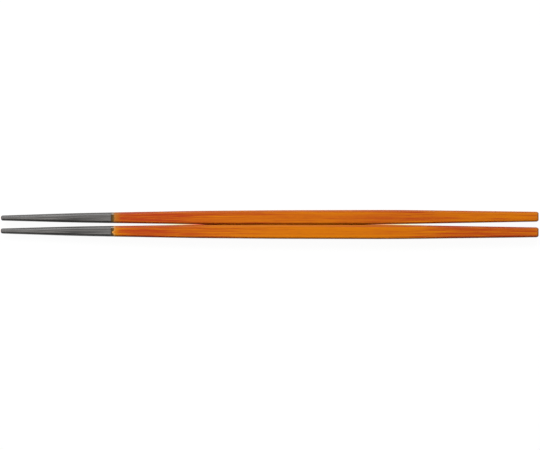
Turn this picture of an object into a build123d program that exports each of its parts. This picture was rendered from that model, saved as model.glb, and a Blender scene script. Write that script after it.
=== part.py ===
"""A pair of double-tapered chopsticks with dark grip coats on their tips, side by side on a table."""

import os

from build123d import *

# Driving dimensions, in millimetres and degrees. Each stick is planed square in five
# stretches, named from the tip to the head. Widths are across two opposite flats.

tip_width = 2.3
tip_taper_length = 34.0
neck_width = 4.3
neck_length = 54.0
shoulder_width = 5.95
shoulder_length = 36.0
belly_width = 6.37
belly_length = 52.0
head_taper_length = 64.0
head_width = 4.42

neck_blend = 60.0
shoulder_blend = 100.0
belly_front_blend = 150.0
belly_back_blend = 150.0

long_edge_round = 0.9
tip_end_round = 0.8
head_end_round = 0.75

coat_length = 50.65
coat_thickness = 0.18
coat_rim_chamfer = 0.12

splay_angle = 0.29
touch_clearance = 0.04

# A rounding leaves at least this much of the flat or wall that it is cut into.
least_flat = 0.05

# Stations along the stick, measured from its tip
neck_station = tip_taper_length
shoulder_station = neck_station + neck_length
belly_front = shoulder_station + shoulder_length
belly_back = belly_front + belly_length
stick_length = belly_back + head_taper_length

blank_thickness = 2 * max(tip_width, neck_width, shoulder_width, belly_width, head_width)
edge_round = min(long_edge_round, min(tip_width, head_width) / 2 - least_flat)
tip_round = min(tip_end_round, edge_round - least_flat)
head_round = min(head_end_round, edge_round - least_flat)
rim_chamfer = min(coat_rim_chamfer, coat_thickness - least_flat)


def planing_outline(plane, inset):
    """Two opposite flats drawn on a plane, with the tip at its origin, all set in by an amount."""
    with BuildSketch(plane) as outline:
        with BuildLine():
            flat = FilletPolyline(
                (inset, tip_width / 2 - inset),
                (neck_station, neck_width / 2 - inset),
                (shoulder_station, shoulder_width / 2 - inset),
                (belly_front, belly_width / 2 - inset),
                (belly_back, belly_width / 2 - inset),
                (stick_length, head_width / 2 - inset),
                radius=(neck_blend, shoulder_blend, belly_front_blend, belly_back_blend),
            )
            Line(flat @ 1, (stick_length, 0))
            Line((stick_length, 0), (inset, 0))
            Line((inset, 0), flat @ 0)
        make_face()
        mirror(about=Plane.XZ)
    return outline.sketch


def planed_form(inset):
    """The whole stick's form along +X with its tip at the origin, set in by an amount all over."""
    with BuildPart() as form:
        from_above = planing_outline(Plane.XY.offset(-blank_thickness / 2), inset)
        extrude(from_above, amount=blank_thickness)
        from_the_side = planing_outline(Plane.XZ.offset(-blank_thickness / 2), inset)
        extrude(from_the_side, amount=blank_thickness, mode=Mode.INTERSECT)
        long_edges = form.edges() - form.edges().filter_by(Plane.YZ)
        fillet(long_edges, edge_round - inset)
    return form.part


coat_end = Plane.YZ.offset(coat_length)

with BuildPart() as outer_form:
    add(planed_form(0))
    fillet(outer_form.faces().sort_by(Axis.X)[-1].edges(), head_round)
    fillet(outer_form.faces().sort_by(Axis.X)[0].edges(), tip_round)

# The nose is cut back by the coat's thickness, so that wood and coat are flush where they meet.
# Its end is hidden, and is bevelled to stay inside the coat's rounded tip.
with BuildPart() as nose:
    add(planed_form(coat_thickness))
    split(bisect_by=coat_end, keep=Keep.BOTTOM)
    chamfer(nose.faces().sort_by(Axis.X)[0].edges(), tip_round - coat_thickness)

# The grip coat is a thimble over the nose: the outer form in front, less the nose inside it.
with BuildPart() as tip_coat:
    add(outer_form.part)
    split(bisect_by=coat_end, keep=Keep.BOTTOM)
    chamfer(tip_coat.faces().sort_by(Axis.X)[-1].edges(), rim_chamfer)
    add(nose.part, mode=Mode.SUBTRACT)

with BuildPart() as stick:
    add(outer_form.part)
    split(bisect_by=coat_end, keep=Keep.TOP)
    add(nose.part)


def resting_place(side):
    """Where a stick lies: its belly's flank by the other stick's, its tip turned towards it."""
    flank = Location((belly_front - stick_length / 2, side * touch_clearance / 2, belly_width / 2))
    turn = Location((0, 0, 0), (0, 0, side * splay_angle / 2))
    from_flank = Location((-belly_front, side * belly_width / 2, 0))
    return flank * turn * from_flank


os.makedirs("parts", exist_ok=True)
for name, side in (("far", 1), ("near", -1)):
    for piece_name, piece in (("stick", stick.part), ("tip_coat", tip_coat.part)):
        with BuildPart() as placed:
            with Locations(resting_place(side)):
                add(piece)
        placed.part.label = f"{name}_{piece_name}"
        export_step(placed.part, f"parts/{placed.part.label}.step")
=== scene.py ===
"""The looks of a pair of double-tapered chopsticks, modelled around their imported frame.

Each stick is stained, clear-lacquered wood with a dark gritty grip coat over its tip. Every
piece is modelled along its own +X axis, with the stick's tip at its origin, and is then laid
where the frame has that stick. Lengths are in metres.
"""

import math

import bpy
import numpy as np
from mathutils import Matrix, Vector, noise


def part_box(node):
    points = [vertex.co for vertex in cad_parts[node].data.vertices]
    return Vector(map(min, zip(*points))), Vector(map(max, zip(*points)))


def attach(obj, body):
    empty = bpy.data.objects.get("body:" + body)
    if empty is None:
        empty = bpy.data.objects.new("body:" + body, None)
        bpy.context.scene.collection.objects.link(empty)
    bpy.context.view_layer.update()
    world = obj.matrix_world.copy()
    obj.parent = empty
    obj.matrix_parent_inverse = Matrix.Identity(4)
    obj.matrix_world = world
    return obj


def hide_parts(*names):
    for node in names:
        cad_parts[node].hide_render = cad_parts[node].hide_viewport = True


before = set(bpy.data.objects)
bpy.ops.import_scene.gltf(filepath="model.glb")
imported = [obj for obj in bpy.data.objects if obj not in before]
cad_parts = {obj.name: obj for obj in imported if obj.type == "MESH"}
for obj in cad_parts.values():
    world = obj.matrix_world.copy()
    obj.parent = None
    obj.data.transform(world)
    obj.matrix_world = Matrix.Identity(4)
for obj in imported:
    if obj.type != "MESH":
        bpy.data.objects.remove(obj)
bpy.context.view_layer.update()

MM = 0.001

# Driving dimensions of one stick. Stations are distances from its tip, and widths are
# across two opposite flats.
tip_width = 2.30 * MM
neck_station, neck_width = 34.0 * MM, 4.30 * MM
shoulder_station, shoulder_width = 88.0 * MM, 5.95 * MM
belly_front, belly_back = 124.0 * MM, 176.0 * MM
head_width = 4.42 * MM

# How far the eased corners between the planed stretches reach, to each side of their stations
neck_easing, shoulder_easing = 9 * MM, 6 * MM
belly_front_easing, belly_back_easing = 6 * MM, 11 * MM

# The long edges' radius at stations: roundest under the coat, and tightest on belly and head
edge_rounds = ((0, 1.06 * MM), (34 * MM, 1.32 * MM), (52 * MM, 1.12 * MM), (72 * MM, 0.90 * MM))

# The ends' rounded rims, the bulge of their faces, and how far the coat runs out over each tip
tip_end_round = 0.80 * MM
head_end_round, head_end_reach = 0.82 * MM, 1.25 * MM
end_face_crown = 0.04 * MM
tip_run_out = {"far": 0.03 * MM, "near": 0.16 * MM}

coat_thickness = 0.18 * MM
coat_end = 50.65 * MM
coat_edge_easing, coat_edge_drop = 0.45 * MM, 0.05 * MM
seam_gap = 0.01 * MM

# The coat's painted rim wanders in waves: how many there are to a turn around the stick, how
# high they are, and how much of the stick's own phase they take
rim_waves = ((1, 0.10 * MM, 1), (3, 0.06 * MM, 2), (7, 0.035 * MM, 5))
rim_phase = {"far": 0.6, "near": 2.3}
rim_reach = 6.0 * MM

# The notch in the near stick's rim. It is cut where the skin faces up by at least so much.
notch_across, notch_width, notch_depth = -0.40 * MM, 0.55 * MM, 0.85 * MM
notch_facing = 0.9

# Depths of the relief, always cut inwards from the true form
ridge_depth, grit_depth, plane_mark_depth = 0.020 * MM, 0.012 * MM, 0.012 * MM

# The relief's grain: its usual length and width, and a shift that sets it apart
ridge_grain = (45 * MM, 0.45 * MM, 11.3)
fine_grit_grain, fine_grit_share = (0.30 * MM, 0.26 * MM, 4.1), 0.6
coarse_grit_grain, coarse_grit_share = (0.62 * MM, 0.45 * MM, 27.7), 0.4
plane_mark_grain = (34 * MM, 1.9 * MM, 7.9)

# How high the finest grain and grit seem to stand, which only the shading shows
bump_height = 0.02 * MM

# How finely the pieces are modelled
wood_step, coat_step = 0.60 * MM, 0.115 * MM
wood_flat_points, wood_corner_points = 22, 10
coat_flat_points, coat_corner_points = 20, 18
end_round_steps, coat_edge_steps, wood_edge_steps = 12, 6, 5
end_face_rings = (0.25, 0.5, 0.75)
rim_wall_rings = (0.7, 1.0)
hidden_rings = 30

# How near a stick's end its frame's outline is measured
end_window = 1.0 * MM


def middle(values):
    """Halfway between the least and the greatest of a list of values."""
    return (min(values) + max(values)) / 2


def stick_axis(side):
    """Where the frame has a stick's axis: the middle of its tip's end and of its head's end."""
    ends = []
    for node, extreme in ((f"{side}_tip_coat", min), (f"{side}_stick", max)):
        places = [vertex.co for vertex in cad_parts[node].data.vertices]
        end = extreme(place.x for place in places)
        near_end = [place for place in places if abs(place.x - end) < end_window]
        ends.append(Vector((end, middle([p.y for p in near_end]), middle([p.z for p in near_end]))))
    return ends


def stick_placement(side):
    """The matrix that lays a piece along its stick's axis, with the tip at the piece's origin."""
    tip, head = stick_axis(side)
    along = (head - tip).normalized()
    across = Vector((0, 0, 1)).cross(along).normalized()
    upright = along.cross(across)
    turn = Matrix((along, across, upright)).transposed()
    return Matrix.Translation(tip) @ turn.to_4x4()


far_tip, far_head = stick_axis("far")
stick_length = (far_head - far_tip).length
far_stick_low, far_stick_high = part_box("far_stick")
belly_width = far_stick_high.z - far_stick_low.z


def half_width(station):
    """Half the width across flats at a station: straight planed stretches with eased corners."""
    stations = (0, neck_station, shoulder_station, belly_front, belly_back, stick_length)
    widths = (tip_width, neck_width, shoulder_width, belly_width, belly_width, head_width)
    easings = (neck_easing, shoulder_easing, belly_front_easing, belly_back_easing)
    slopes = [
        (widths[i + 1] - widths[i]) / 2 / (stations[i + 1] - stations[i])
        for i in range(len(stations) - 1)
    ]
    half = tip_width / 2 + slopes[0] * station
    for corner, before, after, reach in zip(stations[1:], slopes, slopes[1:], easings):
        past = station - corner
        easing = np.clip(past + reach, 0, None) ** 2 / (4 * reach)
        half = half + (after - before) * np.where(past > reach, past, easing)
    return half


def edge_round(station):
    """The radius of the long edges at a station."""
    return np.interp(station, *zip(*edge_rounds))


def fade(value, start, end):
    """A smooth step from 0 at start to 1 at end."""
    share = np.clip((value - start) / (end - start), 0, 1)
    return share * share * (3 - 2 * share)


class Ring:
    """Points around a square section with rounded corners, the same for every size of section.
    Each point has a place on the square through the corners' centres, a direction outwards,
    and a share from 0 on a flat to 1 at the middle of a rounded corner."""

    def __init__(self, flat_points, corner_points):
        on_square, outward, on_edge = [], [], []
        for quarter in range(4):
            cosine, sine = math.cos(quarter * math.pi / 2), math.sin(quarter * math.pi / 2)
            turn = np.array(((cosine, -sine), (sine, cosine)))
            for step in range(flat_points):
                on_square.append(turn @ (1, 2 * step / flat_points - 1))
                outward.append(turn @ (1, 0))
                on_edge.append(0.0)
            for step in range(corner_points):
                angle = math.pi / 2 * step / corner_points
                on_square.append(turn @ (1, 1))
                outward.append(turn @ (math.cos(angle), math.sin(angle)))
                on_edge.append(math.sin(2 * angle))
        self.on_square = np.array(on_square)
        self.outward = np.array(outward)
        self.on_edge = np.array(on_edge)
        self.angles = np.arctan2(*(self.on_square + self.outward).T[::-1])


def rim_wave(side, ring):
    """How far the coat's painted rim wanders along the stick, at each point around it."""
    wave = sum(height * np.sin(count * ring.angles + share * rim_phase[side])
               for count, height, share in rim_waves)
    if side == "near":
        across = ring.on_square[:, 0] * (half_width(coat_end) - edge_round(coat_end))
        on_top = ring.outward[:, 1] > notch_facing
        wave -= notch_depth * on_top * np.exp(-(((across - notch_across) / notch_width) ** 2))
    return wave


def skin_points(side, ring, profile, relief):
    """The rings of a piece, and how far each point lies behind the coat's rim. A profile's point
    is a station, an inset, a share of the section's width, and how much relief it carries."""
    station, inset, share, relief_share = (np.array(column)[:, None] for column in zip(*profile))
    wave = rim_wave(side, ring)[None, :]
    station = station + wave * (1 - fade(abs(station - coat_end), 0, rim_reach))
    corner_round = edge_round(station) - inset
    flat = half_width(station) - edge_round(station)
    across, upright = (
        (ring.on_square[:, axis] * flat + ring.outward[:, axis] * corner_round) * share
        for axis in (0, 1)
    )
    points = np.stack((station, across, upright), axis=2)
    depth = relief(points.reshape(-1, 3)).reshape(points.shape[:2]) * relief_share
    points[:, :, 1:] -= ring.outward * depth[:, :, None]
    return points, station - coat_end - wave


def skin_faces(rings, around):
    """The faces over a piece's rings, and the fans that close its two ends at centre points."""
    first_centre, last_centre = rings * around, rings * around + 1
    i, j = np.meshgrid(np.arange(rings - 1), np.arange(around), indexing="ij")
    after = (j + 1) % around
    quads = np.stack((i * around + j, i * around + after, (i + 1) * around + after,
                      (i + 1) * around + j), axis=2).reshape(-1, 4)
    j = np.arange(around)
    after = (j + 1) % around
    last_ring = (rings - 1) * around
    start = np.stack((np.full(around, first_centre), after, j), axis=1)
    end = np.stack((np.full(around, last_centre), last_ring + j, last_ring + after), axis=1)
    return quads.tolist() + start.tolist() + end.tolist()


def skinned(name, side, ring, profile, relief):
    """A closed piece with a skin over its rings, laid where its stick lies."""
    points, from_rim = skin_points(side, ring, profile, relief)
    rings, around = points.shape[:2]
    centres = [(points[end, :, 0].mean(), 0, 0) for end in (0, -1)]
    vertices = np.vstack((points.reshape(-1, 3), centres))
    mesh = bpy.data.meshes.new(name)
    mesh.from_pydata(vertices.tolist(), [], skin_faces(rings, around))
    mesh.shade_smooth()
    measures = {
        "from_rim": np.append(from_rim.ravel(), (from_rim[0].mean(), from_rim[-1].mean())),
        "on_edge": np.append(np.tile(ring.on_edge, rings), (0, 0)),
    }
    for label, values in measures.items():
        measure = mesh.attributes.new(label, "FLOAT", "POINT")
        measure.data.foreach_set("value", values.astype(np.float32))
    piece = bpy.data.objects.new(name, mesh)
    bpy.context.scene.collection.objects.link(piece)
    piece.matrix_world = stick_placement(side)
    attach(piece, "root")
    return piece


def end_profile(end_round, inset, reach=None):
    """An end's crowned face and rounded rim: distances in from the end, insets and shares.
    The rounding reaches further along the stick than across it if a reach is given."""
    reach = reach or end_round
    crown = [(end_face_crown * share**2, end_round, share) for share in end_face_rings]
    rim = []
    for step in range(end_round_steps + 1):
        angle = math.pi / 2 * step / end_round_steps
        inwards = end_face_crown + (reach - end_face_crown) * (1 - math.cos(angle))
        rim.append((inwards, end_round * (1 - math.sin(angle)), 1.0))
    return [(inset + inwards, inset + amount * (1 - inset / end_round), share)
            for inwards, amount, share in crown + rim]


def even_stations(start, end, step):
    """Stations from start to end, both included, about a step apart."""
    return np.linspace(start, end, round((end - start) / step) + 1)


def quarter_turn(steps):
    """Angles from 0 to a quarter turn, both included."""
    return np.linspace(0, math.pi / 2, steps + 1)


def grain_noise(places, lengthwise, crosswise, shift):
    """Noise from 0 to 1 that is drawn out along the stick, at each of many places."""
    scaled = places / (lengthwise, crosswise, crosswise) + shift
    return np.array([0.5 + 0.5 * noise.noise(place) for place in scaled.tolist()])


def coat_relief(places):
    """The grip coat's skin: lengthwise ridges of the grain below, under a layer of grit."""
    grit = (fine_grit_share * grain_noise(places, *fine_grit_grain)
            + coarse_grit_share * grain_noise(places, *coarse_grit_grain))
    return ridge_depth * grain_noise(places, *ridge_grain) + grit_depth * grit


def wood_relief(places):
    """The slight waviness that planing and sanding leave under the lacquer."""
    return plane_mark_depth * grain_noise(places, *plane_mark_grain)


def tip_grip(side):
    """The grip coat: a thin closed thimble over the stick's nose."""
    run_out = tip_run_out[side]
    tip_end = [(at - run_out * (1 - at / tip_end_round), inset, share, share)
               for at, inset, share in end_profile(tip_end_round, 0)]
    run_end = coat_end - coat_edge_easing
    run = [(station, 0, 1, 1) for station in even_stations(tip_end_round, run_end, coat_step)[1:]]
    rim = []
    for angle in quarter_turn(coat_edge_steps)[1:]:
        along = run_end + coat_edge_easing * math.sin(angle)
        rim.append((along, coat_edge_drop * (1 - math.cos(angle)), 1, 1 - angle / math.pi))
    rim_wall = [(coat_end, coat_thickness * share, 1, 0) for share in rim_wall_rings]
    inner_stations = np.linspace(coat_end, tip_end_round, hidden_rings)[1:-1]
    inside = [(station, coat_thickness, 1, 0) for station in inner_stations]
    nose_end = [(*point, 0) for point in reversed(end_profile(tip_end_round, coat_thickness))]
    profile = tip_end + run + rim + rim_wall + inside + nose_end
    ring = Ring(coat_flat_points, coat_corner_points)
    piece = skinned(f"{side}_grip", side, ring, profile, coat_relief)
    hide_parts(f"{side}_tip_coat")
    return piece


def stick_body(side):
    """The wooden stick: the nose under the coat, the step at its rim, and the body to the head."""
    nose_inset = coat_thickness + seam_gap
    nose_end = [(*point, 0) for point in end_profile(tip_end_round, nose_inset)]
    nose_stations = np.linspace(tip_end_round, coat_end, hidden_rings)[1:]
    nose = [(station, nose_inset, 1, 0) for station in nose_stations]
    step_edge = [(coat_end + seam_gap, nose_inset, 1, 0)]
    for angle in quarter_turn(wood_edge_steps):
        along = coat_end + seam_gap + coat_edge_drop * (1 - math.cos(angle))
        step_edge.append((along, coat_edge_drop * (1 - math.sin(angle)), 1, 0))
    run_start, run_end = coat_end + 2 * coat_edge_drop, stick_length - head_end_reach
    run = [(station, 0, 1, 1) for station in even_stations(run_start, run_end, wood_step)[:-1]]
    head = [(stick_length - at, inset, share, share)
            for at, inset, share in reversed(end_profile(head_end_round, 0, head_end_reach))]
    profile = nose_end + nose + step_edge + run + head
    ring = Ring(wood_flat_points, wood_corner_points)
    piece = skinned(f"{side}_body", side, ring, profile, wood_relief)
    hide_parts(f"{side}_stick")
    return piece


class Value:
    """A number that varies over a surface. Arithmetic on it adds Math nodes."""

    def __init__(self, finish, socket):
        self.finish = finish
        self.socket = socket

    def math(self, operation, *numbers, clamp=False):
        settings = {"operation": operation, "use_clamp": clamp}
        return self.finish.node("Math", settings, dict(enumerate(numbers)))

    def __add__(self, other):
        return self.math("ADD", self, other)

    def __sub__(self, other):
        return self.math("SUBTRACT", self, other)

    def __rsub__(self, other):
        return self.math("SUBTRACT", other, self)

    def __mul__(self, other):
        return self.math("MULTIPLY", self, other)

    def __truediv__(self, other):
        return self.math("DIVIDE", self, other)

    __radd__ = __add__
    __rmul__ = __mul__

    def clamped(self):
        return self.math("ADD", self, 0.0, clamp=True)

    def larger(self, other):
        return self.math("MAXIMUM", self, other)

    def unsigned(self):
        return self.math("ABSOLUTE", self)

    def swing(self, amount):
        """How far a value from 0 to 1 swings to each side of its middle, times an amount."""
        return (self - 0.5) * amount


class Finish:
    """A node tree, with one method that adds any node to it."""

    def __init__(self, owner):
        owner.use_nodes = True
        self.owner = owner
        self.tree = owner.node_tree
        self.tree.nodes.clear()

    def node(self, kind, settings=None, sockets=None, output=0):
        """Adds a node, settings first, then its sockets' values or links. Gives one output."""
        made = self.tree.nodes.new(f"ShaderNode{kind}")
        for name, setting in (settings or {}).items():
            if name == "stops":
                while len(made.color_ramp.elements) < len(setting):
                    made.color_ramp.elements.new(1.0)
                for element, (position, level) in zip(made.color_ramp.elements, setting):
                    element.position = position
                    element.color = (level, level, level, 1)
            elif name == "between_stops":
                made.color_ramp.interpolation = setting
            else:
                setattr(made, name, setting)
        for name, value in (sockets or {}).items():
            if isinstance(value, Value):
                self.tree.links.new(value.socket, made.inputs[name])
            else:
                made.inputs[name].default_value = value
        return Value(self, made.outputs[output]) if made.outputs else None

    def place(self):
        """A surface's place in its piece's own axes."""
        return self.node("TexCoord", output="Object")

    def along(self, axis, place):
        """A place's distance along one axis."""
        return self.node("SeparateXYZ", {}, {"Vector": place}, output=axis)

    def measure(self, label):
        """A measure that the piece's mesh carries."""
        return self.node("Attribute", {"attribute_name": label}, output="Fac")

    def mixed(self, share, first, second):
        """A colour between two, each a colour's red, green and blue or another mix."""
        first, second = ((*c, 1) if isinstance(c, tuple) else c for c in (first, second))
        settings = {"data_type": "RGBA", "clamp_factor": True}
        return self.node("Mix", settings, {0: share, 6: first, 7: second}, output=2)

    def step(self, value, start, end):
        """A smooth step of a value, from 0 at start to 1 at end."""
        settings = {"interpolation_type": "SMOOTHSTEP"}
        sockets = {"Value": value, "From Min": start, "From Max": end, "To Min": 0.0, "To Max": 1.0}
        return self.node("MapRange", settings, sockets)

    def grain(self, place, lengthwise, crosswise, shift, detail=2.0):
        """Noise from 0 to 1, drawn out along the stick: its usual length and width are given."""
        scale = (1 / lengthwise, 1 / crosswise, 1 / crosswise)
        mapping = {"Vector": place, "Scale": scale, "Location": (shift, shift * 1.7, shift * 0.6)}
        drawn_out = self.node("Mapping", {}, mapping)
        sockets = {"Vector": drawn_out, "Scale": 1.0, "Detail": detail, "Roughness": 0.55}
        return self.node("TexNoise", {}, sockets)

    def bump(self, height, strength):
        """A normal that tips with a height, as if it stood up from the surface."""
        sockets = {"Height": height, "Strength": strength, "Distance": bump_height}
        return self.node("Bump", {}, sockets)

    def finished(self, shader):
        self.node("OutputMaterial", {}, {"Surface": shader})
        return self.owner


def light(red, green, blue):
    """A colour's light for the renderer, from its usual 0 to 255 levels."""
    levels = (level / 255 for level in (red, green, blue))
    return tuple(v / 12.92 if v < 0.04045 else ((v + 0.055) / 1.055) ** 2.4 for v in levels)


# Wood stains, a painted edge shade and a painted highlight, the last four in their order from the
# coat's rim to the head's end
red_stain = light(186, 62, 20)
amber_stain = light(226, 126, 0)
fibre_stain = light(140, 52, 16)
# A painted shade for the long edges, not a stain in the wood
painted_edge_shade = light(84, 24, 4)
bare_wood = {"far": light(190, 124, 56), "near": light(226, 164, 84)}
honey_stain = {"far": light(192, 110, 24), "near": light(218, 128, 14)}
# A painted highlight along the head's rim, not rubbed wood
head_rim_highlight = light(226, 156, 84)
soaked_end = light(132, 64, 18)

# Colours of the grip coat: its two tones, a painted shade for its long edges, and its thin end and
# last film
grip_dark = light(58, 56, 54)
grip_light = light(118, 115, 112)
grip_painted_shade = light(30, 29, 27)
grip_edge = light(80, 58, 20)
grip_film = light(130, 92, 34)

# How far the stain has turned from red to amber, at shares of the stick's length
amber_places = {
    "far": ((0.21, 0.42), (0.25, 0.18), (0.31, 0.19), (0.42, 0.50), (0.61, 0.74),
            (0.70, 0.48), (0.84, 0.52), (0.95, 0.88)),
    "near": ((0.21, 0.66), (0.25, 0.31), (0.30, 0.31), (0.42, 0.61), (0.58, 0.95),
             (0.75, 0.90), (0.895, 0.02), (1.0, 0.74)),
}

# What sets the sticks' grain apart, and how fast the pale wood by the rim fades across each
grain_shift = {"far": 3.0, "near": 8.0}
pale_drift = {"far": 0.0, "near": -0.14 / MM}

# How much the darkest fibres show in the stain, and how strong the painted edge shade and the
# painted highlight on the head's rim are
fibre_share, edge_shade_share, head_highlight_share = 0.35, 0.42, 0.12


def pale_by_rim(finish, side, stained, across, streaks):
    """The wood just behind the coat: a honey zone, and a bare line along the coat's rim."""
    from_rim = finish.measure("from_rim")
    drift = across * pale_drift[side]
    honey_reach = 3.6 * MM + streaks.swing(3 * MM)
    honey_share = (0.85 + drift) * (1 - finish.step(from_rim / honey_reach, 0.3, 1.0))
    stained = finish.mixed(honey_share.clamped(), stained, honey_stain[side])
    bare_share = (0.8 + drift) * (1 - finish.step(from_rim, 0.2 * MM, 1.2 * MM))
    return finish.mixed(bare_share.clamped(), stained, bare_wood[side])


def lacquered_wood(side):
    """Close-grained wood, streaked by its stain, under a clear satin lacquer."""
    finish = Finish(bpy.data.materials.new(f"{side}_lacquered_wood"))
    place = finish.place()
    station, across = finish.along("X", place), finish.along("Y", place)
    from_head = stick_length - station

    shift = grain_shift[side]
    broad = finish.grain(place, 60 * MM, 2.2 * MM, shift)
    streaks = finish.grain(place, 120 * MM, 0.48 * MM, shift + 5)
    fine = finish.grain(place, 110 * MM, 0.27 * MM, shift + 9, detail=3.0)
    short = finish.grain(place, 9 * MM, 0.42 * MM, shift + 17)
    fibres = finish.step(finish.grain(place, 5 * MM, 0.13 * MM, shift + 13), 0.60, 0.72)

    settings = {"stops": amber_places[side], "between_stops": "B_SPLINE"}
    turned = finish.node("ValToRGB", settings, {"Fac": station / stick_length})
    streaking = broad.swing(0.4) + streaks.swing(1.9) + fine.swing(2.7) + short.swing(0.9)
    amber_share = 0.5 + turned.swing(1.3) + streaking
    stained = finish.mixed(amber_share.clamped(), red_stain, amber_stain)
    stained = finish.mixed(fibres * fibre_share, stained, fibre_stain)
    stained = pale_by_rim(finish, side, stained, across, streaks)
    # The long edges are darkened towards a painted shade
    stained = finish.mixed(finish.measure("on_edge") * edge_shade_share, stained, painted_edge_shade)

    # A painted highlight: a thin lighter ring about a millimetre in from the head's end
    head_highlight = finish.step(from_head, 1.5 * MM, 1.0 * MM) - finish.step(from_head, 0.9 * MM, 0.5 * MM)
    stained = finish.mixed(head_highlight * head_highlight_share, stained, head_rim_highlight)
    end_grain = 1 - finish.step(from_head, 0.15 * MM, 0.75 * MM)
    stained = finish.mixed(end_grain * (0.2 + 1.2 * fine), stained, soaked_end)

    shader = finish.node("BsdfPrincipled", {}, {
        "Base Color": stained,
        "Roughness": 0.40 + 0.12 * broad + 0.25 * end_grain,
        "Specular IOR Level": 0.12,
        "Coat Weight": 0.22,
        "Coat Roughness": 0.34,
        "Coat IOR": 1.35,
        "Normal": finish.bump(0.5 * streaks + 0.35 * fine + 0.15 * (1 - fibres), strength=0.25),
    })
    return finish.finished(shader)


def grip_coating():
    """A dark matt coat with fine grit in it, thinner, smoother and browner towards its rim."""
    finish = Finish(bpy.data.materials.new("gritty_grip_coating"))
    place = finish.place()
    station = finish.along("X", place)
    ridges = finish.grain(place, 150 * MM, 0.50 * MM, 2.0)
    grit = finish.grain(place, 0.20 * MM, 0.13 * MM, 6.0, detail=3.0)
    patches = finish.grain(place, 5 * MM, 1.5 * MM, 9.0)

    # The coat is lighter towards its tip: fully over its first 4 mm, fading out by 24 mm
    lighter_to_tip = 1 - finish.step(station, 4 * MM, 24 * MM)
    tone = 0.46 + 0.25 * lighter_to_tip + ridges.swing(5.0) + grit.swing(0.9) + patches.swing(0.3)
    colour = finish.mixed(tone.clamped(), grip_dark, grip_light)
    # A painted shade darkens the coat's long edges, by up to three quarters
    shaded = (finish.measure("on_edge") * 1.6).clamped()
    colour = finish.mixed(shaded * 0.75, colour, grip_painted_shade)
    from_end = station - coat_end + ridges.swing(1.0 * MM)
    thin = finish.step(from_end, -1.65 * MM, -1.05 * MM)
    colour = finish.mixed(thin, colour, grip_edge)
    colour = finish.mixed(finish.step(from_end, -0.9 * MM, -0.2 * MM), colour, grip_film)
    shader = finish.node("BsdfPrincipled", {}, {
        "Base Color": colour,
        "Roughness": 0.48 - 0.22 * thin + grit.swing(0.12),
        "Specular IOR Level": 0.9,
        "Normal": finish.bump(grit, strength=0.3),
    })
    return finish.finished(shader)


coating = grip_coating()
for stick_side in ("far", "near"):
    stick_body(stick_side).data.materials.append(lacquered_wood(stick_side))
    tip_grip(stick_side).data.materials.append(coating)

# The studio: a floor that looks white and keeps a faint shadow, one large soft lamp behind and
# above the sticks, and a dim room with a pale backdrop round the horizon
floor_size = 8.0
floor_glow, floor_shadow_share = 0.96, 0.07
floor_paint, floor_bounce = 0.95, 0.32
room_level = 0.13
backdrop_fade, backdrop_height = 0.132, 0.22
lamp_place, lamp_size, lamp_energy = (-0.22, 0.58, 0.66), (1.2, 0.34), 11.3

# The floor that shows between the two sticks carries a painted shadow. It is dark where their
# bellies meet, between two places along X, and brightens from there to its open ends. These are
# given for red, green and blue, as a painted red bounce: the stained wood beside it throws down
# more red light than blue.
slot_half_width = 2 * MM
slot_tip_end, slot_head_end = -27.2 * MM, 41.5 * MM
slot_open_ends = ((-34 * MM, 53 * MM), (-45 * MM, 63 * MM), (-53 * MM, 73 * MM))


def grey(level):
    """An even grey as red, green and blue."""
    return (level, level, level)


def seen_directly(finish):
    """1 where a surface is seen by the camera, in a gloss or through glass, and otherwise 0."""
    camera, glossy, through = (
        finish.node("LightPath", output=ray)
        for ray in ("Is Camera Ray", "Is Glossy Ray", "Is Transmission Ray")
    )
    return camera.larger(glossy).larger(through)


def glow_with_slot_shadow(finish):
    """The floor's own light, with a painted shadow between the two bellies."""
    place = finish.place()
    along, aside = finish.along("X", place), finish.along("Y", place).unsigned()
    beside_slot = finish.step(aside, slot_half_width / 2, slot_half_width)
    outside_slot_shadow = [
        finish.step(along, slot_tip_end, tipwards)
        .larger(finish.step(along, slot_head_end, headwards))
        .larger(beside_slot)
        for tipwards, headwards in slot_open_ends
    ]
    return finish.node("CombineColor", {}, dict(enumerate(outside_slot_shadow)))


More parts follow.
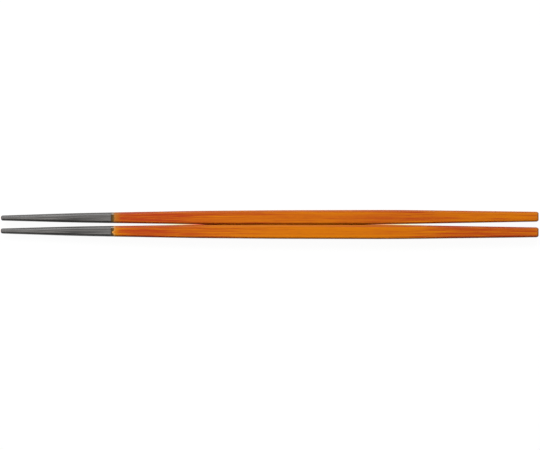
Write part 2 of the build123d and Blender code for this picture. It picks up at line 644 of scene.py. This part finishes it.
def white_floor():
    """A floor that glows white to the eye, takes a faint shadow and throws little light back."""
    bpy.ops.mesh.primitive_plane_add(size=floor_size)
    floor = bpy.context.active_object
    floor.name = "floor"
    finish = Finish(bpy.data.materials.new("white_floor"))
    level = floor_glow / (1 - floor_shadow_share)
    glow = finish.node("Emission", {}, {"Color": glow_with_slot_shadow(finish), "Strength": level})
    shaded = finish.node("BsdfDiffuse", {}, {"Color": (*grey(floor_paint), 1)})
    shown = finish.node("MixShader", {}, {0: floor_shadow_share, 1: glow, 2: shaded})
    bounced = finish.node("BsdfDiffuse", {}, {"Color": (*grey(floor_bounce), 1)})
    both = finish.node("MixShader", {}, {0: seen_directly(finish), 1: bounced, 2: shown})
    floor.data.materials.append(finish.finished(both))


def dim_room():
    """A dim room. Its pale backdrop is there only for what is seen directly."""
    world = bpy.data.worlds.new("studio")
    bpy.context.scene.world = world
    finish = Finish(world)
    height = finish.along("Z", finish.node("TexCoord", output="Generated"))
    backdrop = 1 - finish.step(height, backdrop_fade, backdrop_height)
    shade = finish.mixed(backdrop * seen_directly(finish), grey(room_level), grey(1.0))
    background = finish.node("Background", {}, {"Color": shade, "Strength": 1.0})
    finish.node("OutputWorld", {}, {"Surface": background})


def soft_lamp(name, place, size, energy):
    """A rectangular lamp that faces the frame's origin."""
    lamp = bpy.data.lights.new(name, "AREA")
    lamp.shape = "RECTANGLE"
    lamp.size, lamp.size_y = size
    lamp.energy = energy
    holder = bpy.data.objects.new(name, lamp)
    holder.location = place
    holder.rotation_euler = (-Vector(place)).to_track_quat("-Z", "Y").to_euler()
    holder.visible_camera = False
    bpy.context.scene.collection.objects.link(holder)


white_floor()
dim_room()
soft_lamp("softbox", lamp_place, lamp_size, lamp_energy)

# The camera looks straight down. The photograph is 241.2 mm wide at the sticks' middle height.
view_width = 241.2 * MM
view_centre = Vector((0.15 * MM, -0.223 * MM, belly_width / 2))
lens, sensor = 150.0, 36.0
eye = bpy.data.cameras.new("camera")
eye.lens, eye.sensor_width = lens, sensor
eye.clip_start, eye.clip_end = 0.05, 20.0
camera = bpy.data.objects.new("camera", eye)
camera.location = view_centre + Vector((0, 0, view_width * lens / sensor))
bpy.context.scene.collection.objects.link(camera)
bpy.context.scene.camera = camera
bpy.context.scene.view_settings.view_transform = "Standard"
